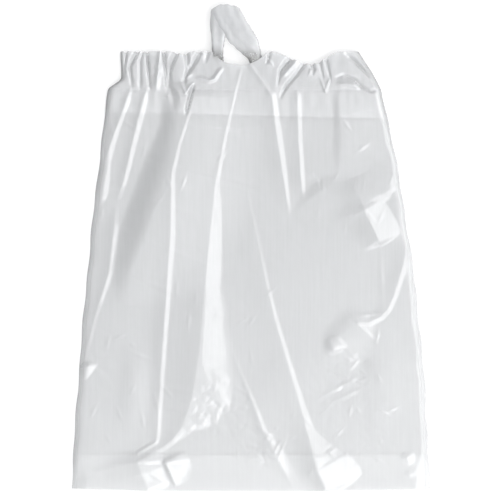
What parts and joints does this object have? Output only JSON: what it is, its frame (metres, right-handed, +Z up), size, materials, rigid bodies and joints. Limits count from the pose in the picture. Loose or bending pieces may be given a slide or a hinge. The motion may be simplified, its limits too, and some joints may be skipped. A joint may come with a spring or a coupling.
{
  "type": "draw-tape plastic bag",
  "caption": "Translucent white plastic bag laid flat, its hem gathered on a draw tape that comes out of a scoop at the top as two carrying loops, with a gusseted bottom.",
  "frame": {"origin": "under the middle of the bag's box, on the surface the back panel lies on", "axes": "+X to the right across the bag, +Y from the bottom fold to the mouth and loops, +Z up out of the front panel"},
  "size_m": [0.457, 0.617, 0.017],
  "materials": {
    "film": "milky translucent blown film, slightly glossy",
    "hem_film": "doubled milky film, slightly glossy",
    "gusset_film": "folded milky film, slightly glossy",
    "weld": "pressed, clearer weld line",
    "tape": "stiffer creased milky tape, glossy"
  },
  "bodies": {
    "back": {"back_panel": "film", "back_hem_flap": "hem_film", "back_hem_weld": "weld", "back_tape_left_run": "tape", "back_tape_right_run": "tape", "back_left_tape_anchor": "weld", "back_right_tape_anchor": "weld"},
    "seams": {"left_side_seam": "weld", "right_side_seam": "weld", "back_gusset_leaf": "gusset_film", "front_gusset_leaf": "gusset_film"},
    "front": {"front_panel": "film", "front_hem_flap": "hem_film", "front_hem_weld": "weld", "front_tape_left_run": "tape", "front_tape_right_run": "tape", "front_left_tape_anchor": "weld", "front_right_tape_anchor": "weld"},
    "front_loop_legs": {"front_tape_left_leg": "tape", "front_tape_right_leg": "tape"},
    "front_loop_bend": {"front_tape_bight": "tape"},
    "back_loop_legs": {"back_tape_left_leg": "tape", "back_tape_right_leg": "tape"},
    "back_loop_bend": {"back_tape_bight": "tape"}
  },
  "joints": [
    {"name": "mouth_open", "type": "hinge", "parent": "back", "child": "seams", "pos_m": [0, -0.3085, 0.001], "axis": [1, 0, 0], "range_deg": [0, 6.5]},
    {"name": "front_lift", "type": "hinge", "parent": "seams", "child": "front", "pos_m": [0, -0.3085, 0.016], "axis": [1, 0, 0], "range_deg": [0, 6.5]},
    {"name": "front_loop_swing", "type": "hinge", "parent": "front", "child": "front_loop_legs", "pos_m": [-0.017, 0.252, 0.0145], "axis": [1, 0, 0], "range_deg": [0, 100]},
    {"name": "front_tape_pull", "type": "slide", "parent": "front_loop_legs", "child": "front_loop_bend", "axis": [0, 1, 0], "range_m": [-0.008, 0.03]},
    {"name": "back_loop_swing", "type": "hinge", "parent": "back", "child": "back_loop_legs", "pos_m": [-0.017, 0.2565, 0.0015], "axis": [1, 0, 0], "range_deg": [0, 90]},
    {"name": "back_tape_pull", "type": "slide", "parent": "back_loop_legs", "child": "back_loop_bend", "axis": [0, 1, 0], "range_m": [-0.004, 0.03]}
  ],
  "couplings": [
    {"joint": "front_lift", "follows": "mouth_open", "ratio": 1},
    {"joint": "back_loop_swing", "follows": "front_loop_swing", "ratio": 0.9}
  ]
}
